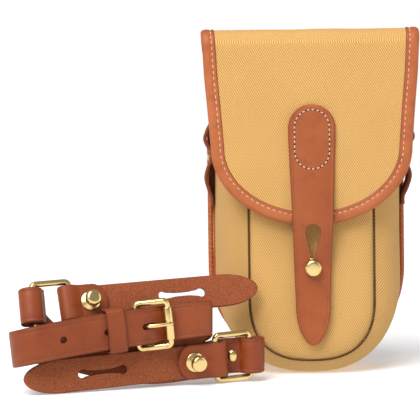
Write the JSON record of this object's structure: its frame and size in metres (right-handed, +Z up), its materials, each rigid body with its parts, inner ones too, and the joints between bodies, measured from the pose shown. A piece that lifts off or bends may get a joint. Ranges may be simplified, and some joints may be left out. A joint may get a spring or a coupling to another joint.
{
  "type": "binocular harness pack",
  "caption": "Canvas accessory pouch with leather-bound flap and stud-closed strap, with a coiled leather harness strap with buckle, rings and slotted tongues.",
  "frame": {"origin": "centre of the flattened patch under the pouch, on the surface it stands on", "axes": "+X to the right across the pouch, +Y towards the back of the pouch, +Z up"},
  "size_m": [0.257, 0.1378, 0.2201],
  "materials": {
    "canvas": "twill weave, matte",
    "lining": "plain weave, matte",
    "tan_leather": "satin",
    "strap_leather": "satin",
    "harness_leather": "satin",
    "brass": "polished"
  },
  "bodies": {
    "pouch": {"back_panel": "canvas", "back_binding": "tan_leather", "gusset": "canvas", "lining": "lining", "front_panel": "canvas", "mouth_binding": "tan_leather", "side_loop_left": "tan_leather", "side_loop_rivet_left": "brass", "side_loop_right": "tan_leather", "side_loop_rivet_right": "brass", "closure_stud": "brass"},
    "flap": {"flap_panel": "canvas", "flap_lining": "lining", "flap_binding": "tan_leather", "closure_strap_sewn": "strap_leather"},
    "closure_strap": {"closure_strap_free": "strap_leather"},
    "harness": {"buckle_strap": "harness_leather", "holed_strap": "harness_leather", "lower_roll_rivet": "brass"},
    "keeper": {"keeper_loop": "harness_leather"},
    "buckle": {"buckle_frame": "brass"},
    "prong": {"buckle_prong": "brass"},
    "roller": {"buckle_roller": "brass"},
    "upper_ring_body": {"upper_ring": "brass"},
    "upper_tongue": {"upper_tongue_strap": "harness_leather", "upper_stud": "brass"},
    "lower_ring_body": {"lower_ring": "brass"},
    "lower_tongue": {"lower_tongue_strap": "harness_leather", "lower_stud": "brass"}
  },
  "joints": [
    {"name": "flap_hinge", "type": "hinge", "parent": "pouch", "child": "flap", "pos_m": [0, 0.0264, 0.2096], "axis": [-1, 0, 0], "range_deg": [0, 150]},
    {"name": "strap_bend", "type": "hinge", "parent": "flap", "child": "closure_strap", "pos_m": [0, -0.0464, 0.13], "axis": [-1, 0, 0], "range_deg": [0, 100]},
    {"name": "harness_lift", "type": "slide", "parent": "pouch", "child": "harness", "axis": [0, -0.5, 0.866], "range_m": [-0.0005, 0.25]},
    {"name": "keeper_slide", "type": "slide", "parent": "harness", "child": "keeper", "axis": [0.9357, 0.3406, 0.0921], "range_m": [-0.006, 0.0005]},
    {"name": "buckle_tilt", "type": "hinge", "parent": "harness", "child": "buckle", "pos_m": [-0.10966, -0.08263, 0.03789], "axis": [-0.094, -0.0342, 0.995], "range_deg": [-6, 0]},
    {"name": "prong_tilt", "type": "hinge", "parent": "buckle", "child": "prong", "pos_m": [-0.10966, -0.08263, 0.03789], "axis": [-0.094, -0.0342, 0.995], "range_deg": [-4, 0]},
    {"name": "roller_spin", "type": "hinge", "parent": "buckle", "child": "roller", "pos_m": [-0.09026, -0.08181, 0.03975], "axis": [-0.094, -0.0342, 0.995], "continuous": true},
    {"name": "upper_ring_swing", "type": "hinge", "parent": "harness", "child": "upper_ring_body", "pos_m": [-0.17029, -0.093, 0.0516], "axis": [-0.1546, 0.3077, 0.9388], "range_deg": [0, 1.4]},
    {"name": "upper_tongue_swing", "type": "hinge", "parent": "upper_ring_body", "child": "upper_tongue", "pos_m": [-0.14908, -0.08528, 0.05256], "axis": [-0.1546, 0.3077, 0.9388], "range_deg": [0, 1.6]},
    {"name": "lower_ring_swing", "type": "hinge", "parent": "harness", "child": "lower_ring_body", "pos_m": [-0.04089, -0.05558, 0.01595], "axis": [-0.0433, -0.0158, 0.9989], "range_deg": [0, 0.4]},
    {"name": "lower_tongue_swing", "type": "hinge", "parent": "lower_ring_body", "child": "lower_tongue", "pos_m": [-0.0621, -0.0633, 0.01491], "axis": [-0.0433, -0.0158, 0.9989], "range_deg": [0, 0.6]}
  ]
}
